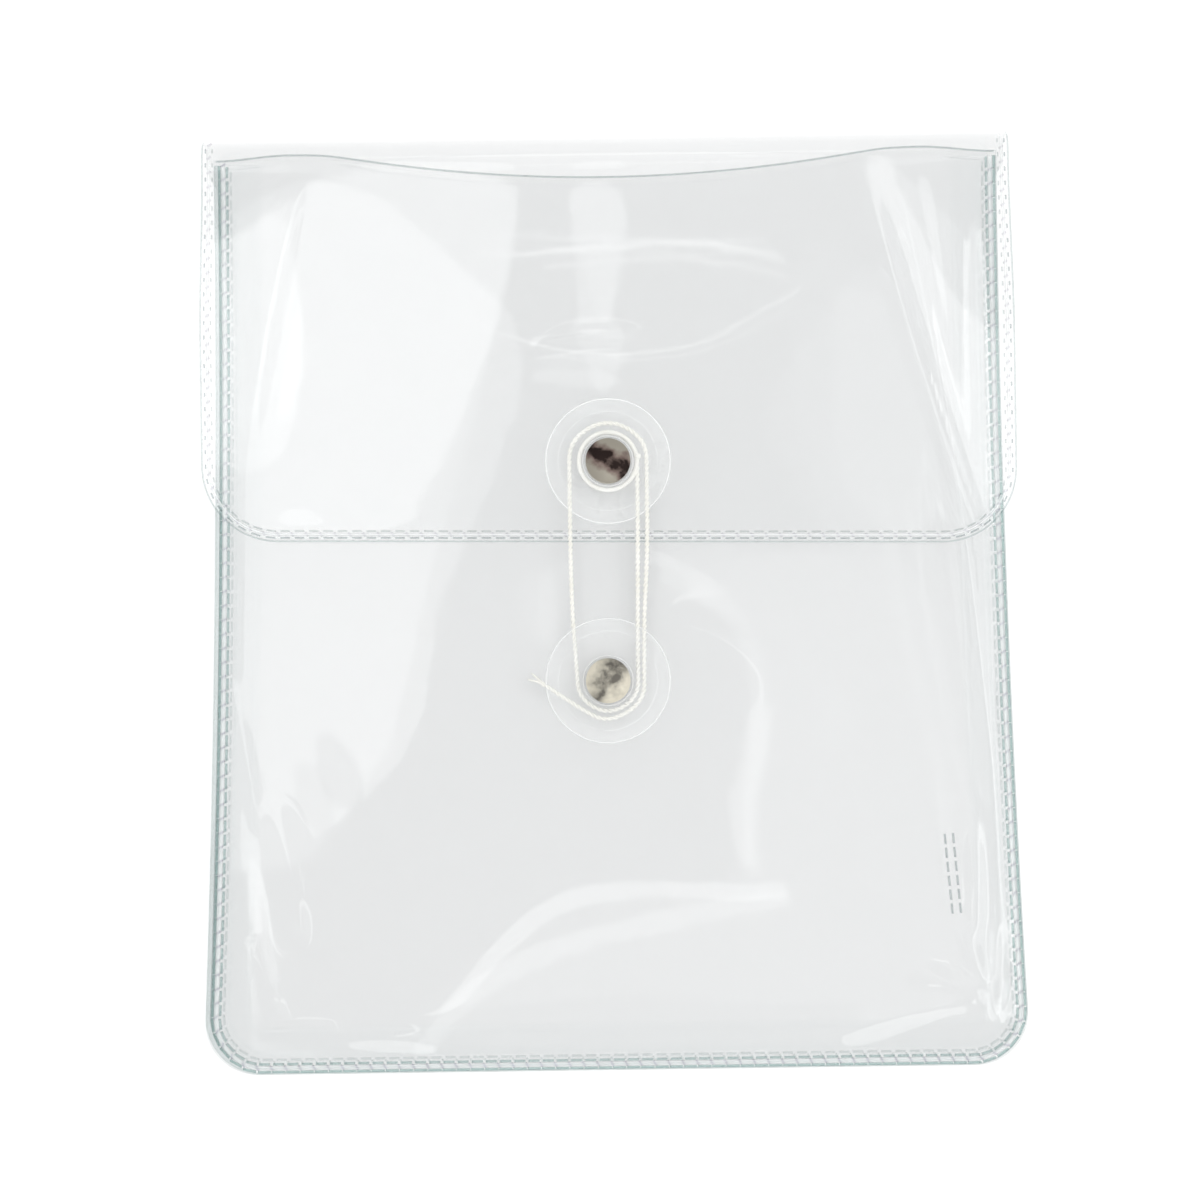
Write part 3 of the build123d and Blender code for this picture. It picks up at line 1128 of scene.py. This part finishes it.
    def edges(self) -> None:
        """The cut edges of the panels, the mouth's edge, and the pressed channels."""
        s, f = self.sizes, self.finishes
        film = s.film + 0.04
        flap_top = s.fold_centre[0] + self.past_fold
        pouch_edge = self.pouch.border(0.16, s.gusset_mouth_y, 0.5, self.margin / 2)
        left = smooth((-pouch_edge[0][:, :1] - s.bottom_half_width + s.corner_radius) / s.corner_radius)
        rim = 0.32 + self.margin * left
        flap_edge = self.flap.border(0.14, flap_top)
        across = np.linspace(-s.mouth_half_width + 0.5, s.mouth_half_width - 0.5, 240)
        mouth = inset_path(np.stack([across, self.pouch.mouth(across) - 0.15], -1), 0.0)
        self.bead("front_cut_edge", Body.FRONT, pouch_edge, self.front_middle, (rim, film), f.faint_edge)
        self.bead("back_cut_edge", Body.POUCH, pouch_edge, self.back_middle, (rim, film), f.faint_edge)
        self.bead("flap_cut_edge", Body.FLAP, flap_edge, self.flap_middle, (0.28, film), f.faint_edge)
        self.bead("front_mouth_edge", Body.FRONT, mouth, self.front_middle, (0.34, film), f.cut_edge)
        # the channels are real; their pale white is a painted highlight
        channel = self.pouch.border(1.15, s.gusset_mouth_y, 0.5, self.margin)
        self.bead("front_channel", Body.FRONT, channel, self.front_face, (0.8, 0.14), f.weld_gloss)
        channel = self.flap.border(1.35, flap_top)
        self.bead("flap_channel", Body.FLAP, channel, self.flap_face, (0.45, 0.1), f.weld_gloss)

    def build(self) -> None:
        """Makes every seam."""
        self.stitches()
        self.edges()


@dataclass
class ClosureString:
    """The two-ply string on its route round the two buttons, in millimetres."""

    finishes: Finishes
    length: float = 184.8
    diameter: float = 0.8
    ply_radius: float = 0.24
    ply_offset: float = 0.19
    twist_pitch: float = 2.1
    frayed: float = 2.6
    route: tuple = (
        (5.0, 26.1, 8.35),
        (5.0, 18.0, 8.40),
        (4.9, 9.0, 8.50),
        (4.75, -1.5, 6.45),
        (4.68, -11.4, 6.45),
        (4.65, -17.1, 6.45),
        (-0.7, -20.2, 6.45),
        (-6.05, -17.1, 6.45),
        (-6.35, -11.4, 6.45),
        (-7.0, -1.5, 6.45),
        (-7.15, 9.0, 8.50),
        (-7.12, 22.4, 8.40),
        (-7.1, 29.2, 8.35),
        (-0.2, 33.1, 8.35),
        (6.7, 29.2, 8.35),
        (6.7, 22.4, 8.40),
        (6.65, 9.0, 8.50),
        (5.95, -1.5, 6.45),
        (5.8, -11.8, 6.45),
        (5.75, -17.9, 6.45),
        (-0.9, -21.7, 6.45),
        (-6.3, -18.6, 6.45),
        (-11.4, -15.1, 6.35),
        (-14.7, -12.9, 6.25),
    )

    def line(self) -> Array:
        """The smooth route, read from its own spline.

        Returns:
            Its points, in millimetres.
        """
        curve = bpy.data.curves.new("string_route", "CURVE")
        curve.dimensions = "3D"
        spline = curve.splines.new("NURBS")
        spline.points.add(len(self.route) - 1)
        knots = np.column_stack([np.array(self.route) * MM, np.ones(len(self.route))])
        spline.points.foreach_set("co", knots.ravel())
        spline.order_u = 3
        spline.use_endpoint_u = True
        spline.resolution_u = 16
        holder = bpy.data.objects.new("string_route", curve)
        bpy.context.collection.objects.link(holder)
        mesh = bpy.data.meshes.new_from_object(holder)
        points = np.zeros(len(mesh.vertices) * 3)
        mesh.vertices.foreach_get("co", points)
        bpy.data.objects.remove(holder)
        bpy.data.curves.remove(curve)
        bpy.data.meshes.remove(mesh)
        return points.reshape(-1, 3) / MM

    def build(self) -> bpy.types.Object:
        """Two plies twisted round the route, which part where the end is frayed.

        A ply's middle stands off the route by the offset, turned by one full turn per pitch
        about the direction of the route, and its skin is a circle about that middle.

        Returns:
            The piece.
        """
        path = self.line()
        length = length_of(path)
        at = np.linspace(0, length, int(length / 0.16))
        centre, _ = even(path, path, at)
        ahead = unit(np.gradient(centre, axis=0))
        side = unit(np.cross([0.0, 0.0, 1.0], ahead))
        above = np.cross(ahead, side)
        loose = smooth((at - (length - self.frayed)) / self.frayed)
        phase = 2 * np.pi * np.minimum(at, length - self.frayed) / self.twist_pitch
        ring = np.linspace(0, 2 * np.pi, 9)[:-1]
        skin = side[:, None] * np.cos(ring)[None, :, None] + above[:, None] * np.sin(ring)[None, :, None]
        shapes, faces = [], []
        for number in range(2):
            turn = phase + number * np.pi
            stand = self.ply_offset * (1 + 0.10 * np.sin(at * 1.7 + number)) + 0.55 * loose
            across = np.cos(turn) * (1 - loose) + loose * (1 if number else -0.6)
            upward = np.sin(turn) * (1 - loose)
            middle = centre + side * (across * stand)[:, None] + above * (upward * stand)[:, None]
            radius = self.ply_radius * (1 - 0.45 * smooth(at - length + 1.0))
            shapes.append((middle[:, None] + skin * radius[:, None, None]).reshape(-1, 3))
            faces.append(grid_faces(len(at), len(ring), wrap=True)[:, ::-1] + number * len(at) * len(ring))
        piece = add_mesh(
            "closure_string_plies", np.vstack(shapes), np.vstack(faces), [self.finishes.cotton], shadow=True
        )
        close_ends(piece)
        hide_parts("closure_string")
        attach(piece, Body.FLAP.value)
        return piece


def close_ends(piece: bpy.types.Object) -> None:
    """Closes a mesh's open rings with flat caps."""
    work = bmesh.new()
    work.from_mesh(piece.data)
    open_edges = [edge for edge in work.edges if edge.is_boundary]
    bmesh.ops.holes_fill(work, edges=open_edges, sides=0)
    work.to_mesh(piece.data)
    work.free()


@dataclass
class Buttons:
    """The washers, rivets and the string's anchor, which keep their CAD shapes, and fine rings that are
    painted highlights on the discs' moulded edges.
    """

    finishes: Finishes
    rim_inset: float = 0.16
    ring_radius: float = 8.9
    collar_radius: float = 4.45

    def ring(self, name: str, node: str, radius: float, thick: float, drop: float) -> bpy.types.Object:
        """A thin white ring on a disc, a painted highlight where its moulded edge catches the light.

        Args:
            name: the ring's name.
            node: the disc's CAD node.
            radius: the ring's radius.
            thick: the radius of its section.
            drop: how far its middle lies under the disc's flat face.

        Returns:
            The ring.
        """
        low, high = np.array(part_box(node)) / MM
        centre = (low + high) / 2
        turn = np.linspace(0, 2 * np.pi, 121)[:-1, None]
        section = np.linspace(0, 2 * np.pi, 9)[None, :-1]
        reach = radius + thick * np.cos(section)
        x, y = centre[0] + reach * np.cos(turn), centre[1] + reach * np.sin(turn)
        z = low[2] + 0.8 - drop + thick * np.sin(section) + 0 * turn
        points = np.stack([x, y, z], -1).reshape(-1, 3)
        rows = grid_faces(121, 8, wrap=True) % (120 * 8)
        piece = add_mesh(name, points, rows, [self.finishes.disc_edge_highlight])
        return piece

    def build(self) -> None:
        """Dresses each CAD node and lays the rings."""
        dressed = {
            "flap_button_disc": self.finishes.disc,
            "pouch_button_disc": self.finishes.disc,
            "flap_rivet_cap": self.finishes.upper_nickel,
            "pouch_rivet_cap": self.finishes.lower_nickel,
            "flap_rivet_base": self.finishes.lower_nickel,
            "pouch_rivet_base": self.finishes.lower_nickel,
            "string_anchor_knot": self.finishes.cotton,
        }
        for node, finish in dressed.items():
            piece = bpy.data.objects[node]
            piece.data.materials.clear()
            piece.data.materials.append(finish)
            LOG.info("%s dressed in %s", node, finish.name)
        for node, body in (("flap_button_disc", "flap_washer"), ("pouch_button_disc", "pouch_washer")):
            low, high = np.array(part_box(node)) / MM
            radius = (high[0] - low[0]) / 2
            bpy.data.objects[node].visible_shadow = False
            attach(self.ring(node + "_rim", node, radius - self.rim_inset, 0.14, 0.14), body)
            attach(self.ring(node + "_step", node, self.ring_radius, 0.05, -0.1), body)
            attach(self.ring(node + "_collar", node, self.collar_radius, 0.13, -0.1), body)


def rounded(corners: Array, closed: bool, times: int) -> Array:
    """Rounds a line's corners by cutting each stretch at its quarters, several times.

    Args:
        corners: its points, in rows.
        closed: whether its last point joins its first.
        times: how often it is cut.

    Returns:
        The rounded line's points.
    """
    points = np.asarray(corners, float)
    for _ in range(times):
        after = np.roll(points, -1, axis=0) if closed else points[1:]
        before = points if closed else points[:-1]
        cut = np.stack([0.75 * before + 0.25 * after, 0.25 * before + 0.75 * after], 1).reshape(-1, 2)
        points = cut if closed else np.vstack([points[:1], cut, points[-1:]])
    return points


@dataclass(frozen=True)
class Card:
    """A softly lit card high over the case, drawn by the outline of its reflection in the film.

    The outline is in millimetres on the case; a ribbon is a line with a width instead.
    """

    name: str
    outline: tuple
    glow: float
    ribbon: float = 0.0
    times: int = 3

    def build(self, centre: Array, spread: float, height: float, glow_below: float) -> bpy.types.Object:
        """Makes the card.

        Args:
            centre: the camera's x and y in millimetres.
            spread: how much larger the card is than its reflection.
            height: the card's height in millimetres.
            glow_below: the surround's radiance, to which the card's own is added.

        Returns:
            The card.
        """
        line = rounded(self.outline, closed=not self.ribbon, times=self.times)
        if self.ribbon:
            along = unit(np.gradient(line, axis=0))
            side = np.stack([along[:, 1], -along[:, 0]], -1) * self.ribbon / 2
            taper = np.sin(np.pi * np.linspace(0.1, 0.9, len(line)))[:, None] ** 0.5
            line = np.stack([line + side * taper, line - side * taper], 1).reshape(-1, 2)
            faces = grid_faces(len(line) // 2, 2)
        else:
            faces = np.arange(len(line))[None]
        flat = centre + (line - centre) * spread
        points = np.column_stack([flat, np.full(len(flat), height)])
        g = Graph(self.name + "_glow")
        material = g.finish(g.value("Emission", {"Color": WHITE, "Strength": glow_below + self.glow}))
        card = add_mesh(self.name, points, faces, [material])
        return card


def oval(centre: tuple, size: tuple, turn: float) -> tuple:
    """An ellipse.

    Args:
        centre: its middle.
        size: its two widths.
        turn: its turn in degrees.

    Returns:
        Its corners.
    """
    angle = np.linspace(0, 2 * np.pi, 13)[:-1]
    x, y = np.cos(angle) * size[0] / 2, np.sin(angle) * size[1] / 2
    lean = math.radians(turn)
    spun = (x * math.cos(lean) - y * math.sin(lean), x * math.sin(lean) + y * math.cos(lean))
    return tuple(zip((centre[0] + spun[0]).tolist(), (centre[1] + spun[1]).tolist()))


CARDS = (
    Card(
        "left_window",
        (
            (-55, 80), (-17, 78), (-15.7, 72.6), (-18.7, 56.4), (-25, 30), (-33, 5.7), (-37, -14.6),
            (-44, -33), (-60, -51), (-84, -42), (-118, -20), (-130, 5), (-130, 50), (-76, 65),
        ),
        0.78,
        times=2,
    ),
    Card("left_gleam", ((-54, 79), (-60, 26), (-108, 26), (-108, 54), (-72, 69)), 1.3, times=2),
    Card("left_lens", oval((-54.3, -35), (6, 15), 20.0), 0.05),
    Card(
        "upper_band",
        ((-7.6, 76.7), (4.6, 75.7), (3.6, 60.5), (0.6, 50.3), (-2.9, 52.3), (-4.5, 64.5)),
        0.6,
    ),
    Card("streak_upper", ((-23.8, 66.8), (0, 65.8), (29, 65.2)), 1.3, ribbon=0.9),
    Card("streak_lower", ((-10.6, 64.0), (10, 63.2), (29, 63.0)), 0.9, ribbon=0.6),
    Card("ripple_one", oval((-4.1, 43.2), (15, 4), -3.0), 0.5),
    Card("ripple_two", oval((1.2, 48.3), (8, 1.4), -8.0), 0.7),
    Card(
        "right_wedge",
        ((45.8, 81.2), (50, 81.2), (70, 60.5), (90, 40), (90, 10), (67, 10), (60.4, 35), (52.3, 60.5)),
        0.85,
        times=2,
    ),
    Card("right_side", ((104, 90), (200, 90), (200, -150), (104, -150)), 0.7, times=1),
    Card("right_bar", ((112, 70), (127, 70), (127, -145), (112, -145)), 1.7, times=1),
    Card("near_side", ((-70, -120), (90, -120), (90, -200), (-70, -200)), 0.9, times=1),
    Card("flap_wash", ((32, 64.5), (44, 64.5), (62.4, 36), (69, 11), (36, 11)), 0.2),
    Card(
        "lower_wash",
        (
            (9.7, 4.6), (19.8, -0.4), (24.9, -10.6), (24.9, -26.8), (22.9, -43), (23.9, -53.2),
            (9.7, -56.3), (-10.6, -60.3), (-26.8, -69.5), (-34, -81.6), (70.6, -81.6), (72.6, -35),
            (68.6, 9.7), (32, 9.7),
        ),
        0.2,
    ),
    Card("swoosh_foot", ((-36, -82), (-27.5, -71), (-11, -62), (9.7, -57.5), (32, -54)), 1.0, ribbon=4.0),
    Card(
        "swoosh_back",
        ((25.5, -50), (24.5, -40), (27.0, -24), (26.5, -10), (20.5, 0), (9, 4.5)),
        0.7,
        ribbon=3.5,
    ),
    Card("button_gleam", ((-17, 5.5), (-9, 5.5), (-10, -4), (-13, -9), (-16, -4)), 0.3),
    Card("right_gleam", ((52.3, 19.9), (56.8, 19.9), (69, -43), (65.1, -43)), 0.35, times=1),
    Card("right_spot", ((39.1, -16), (45, -27), (36, -27)), 0.3),
    Card("right_crease", ((46, 81), (58, 38), (63, 19), (69, -25), (71.5, -55)), 0.5, ribbon=0.9),
    Card("left_foot", ((-66.0, -42), (-64.5, -55), (-62.0, -68)), 1.2, ribbon=2.4),
    Card("right_foot", ((64.5, -35), (67.0, -55), (68.5, -68)), 0.6, ribbon=1.2),
    Card("corner_one", ((68.2, -60), (67.0, -77)), 2.0, ribbon=1.6, times=0),
    Card("corner_two", ((74.0, -66), (71.0, -71), (68.5, -77)), 2.0, ribbon=1.4),
    Card("corner_three", ((-66.5, -62), (-65.5, -79)), 1.4, ribbon=1.5, times=0),
    Card("corner_four", ((-66.0, -79.5), (-50.0, -83.0)), 1.4, ribbon=1.8, times=0),
)


@dataclass
class Studio:
    """The floor, the lights and the camera, in metres."""

    camera_height: float = 0.515
    lens: float = 85.0
    roll: float = -0.8
    centre: tuple = (-0.00197, 0.00048)
    card_height: float = 0.8
    card_step: float = 0.002
    surround: float = 0.75
    radiance: float = 2.45
    floor_half_width: float = 3.0
    floor_drop: float = 0.00002

    def camera(self) -> None:
        """A camera straight above the case."""
        data = bpy.data.cameras.new("camera")
        data.lens = self.lens
        data.clip_start = 0.01
        camera = bpy.data.objects.new("camera", data)
        camera.location = (*self.centre, self.camera_height)
        camera.rotation_euler = (0, 0, math.radians(self.roll))
        bpy.context.collection.objects.link(camera)
        bpy.context.scene.camera = camera

    def floor(self) -> None:
        """A plain white floor."""
        g = Graph("floor_white")
        place = g.node("TexCoord").outputs["Object"]
        mottle = g.value("TexNoise", {"Vector": place, "Scale": 3.0})
        colour = g.value("MapRange", {0: mottle, 3: 0.965, 4: 0.975})
        material = g.finish(g.value("BsdfDiffuse", {"Color": colour}))
        corners = np.array([[-1, -1, 0], [1, -1, 0], [1, 1, 0], [-1, 1, 0]]) * self.floor_half_width
        corners[:, 2] = -self.floor_drop
        floor = add_mesh("floor", corners / MM, np.array([[0, 1, 2, 3]]), [material])

    def cards(self, top: float) -> None:
        """The lit cards, each a little nearer than the one before it.

        Args:
            top: the height of the case's front, where the reflections lie.
        """
        centre = np.array(self.centre) / MM
        for number, card in enumerate(CARDS):
            height = (self.card_height - self.card_step * number) / MM
            spread = 1 + (height - top) / (self.camera_height / MM - top)
            card.build(centre, spread, height, self.surround)

    def sky(self) -> None:
        """An even pale surround."""
        world = bpy.data.worlds.new("surround")
        bpy.context.scene.world = world
        world.use_nodes = True
        background = world.node_tree.nodes["Background"]
        background.inputs["Color"].default_value = WHITE
        background.inputs["Strength"].default_value = self.surround

    def overhead(self) -> None:
        """A broad high light that brightens the table and the string, and is not mirrored."""
        data = bpy.data.lights.new("overhead", "AREA")
        data.shape = "SQUARE"
        data.size = 1.0
        data.energy = self.radiance * math.pi
        light = bpy.data.objects.new("overhead", data)
        light.location = (0.1, 0.15, 1.5)
        light.visible_glossy = False
        bpy.context.collection.objects.link(light)

    def build(self, top: float) -> None:
        """Lights and floor."""
        bpy.context.scene.view_settings.view_transform = "Standard"
        bpy.context.scene.cycles.transparent_max_bounces = 32
        self.floor()
        self.sky()
        self.overhead()
        self.cards(top)


def main() -> None:
    """Builds the case, part by part."""
    logging.basicConfig(level=logging.INFO, format="%(name)s: %(message)s")
    studio = Studio()
    studio.camera()
    finishes = Finishes()
    ClosureString(finishes).build()
    sizes = CaseSizes()
    pouch, flap = PouchShape(sizes), FlapShape(sizes)
    film = FilmBody(sizes, pouch, flap, finishes)
    film.front_panel()
    film.back_fold_flap()
    film.gusset()
    Seams(sizes, pouch, flap, finishes).build()
    Buttons(finishes).build()
    studio.build(sizes.front_top)


if __name__ == "__main__":
    main()
